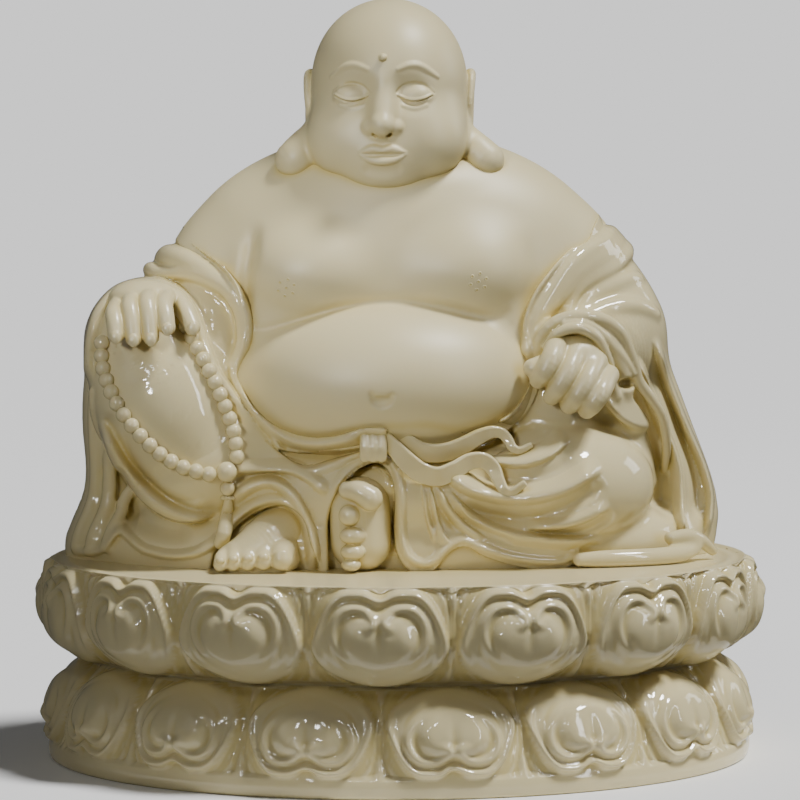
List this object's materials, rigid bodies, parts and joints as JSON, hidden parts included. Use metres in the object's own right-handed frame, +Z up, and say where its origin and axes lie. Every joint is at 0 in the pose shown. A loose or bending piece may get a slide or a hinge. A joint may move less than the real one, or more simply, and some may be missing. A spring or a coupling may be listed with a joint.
{
  "type": "budai figure",
  "caption": "Seated bare-chested monk figure in cream-white porcelain with prayer beads, on an oval double-lotus base, for display on a shelf or table.",
  "frame": {"origin": "centre of the base's underside", "axes": "+Z up; the figure faces -Y; +X to the viewer's right, the figure's left; the raised knee and the beads are on the -X side"},
  "size_m": [0.2598, 0.2098, 0.2699],
  "materials": {
    "figure_porcelain": "cream-white porcelain, satin on the bare skin and glossy on the robe",
    "base_porcelain": "cream-white porcelain under a clear gloss glaze"
  },
  "bodies": {
    "root": {"budai_figure": "figure_porcelain", "lotus_base": "base_porcelain"}
  },
  "joints": []
}
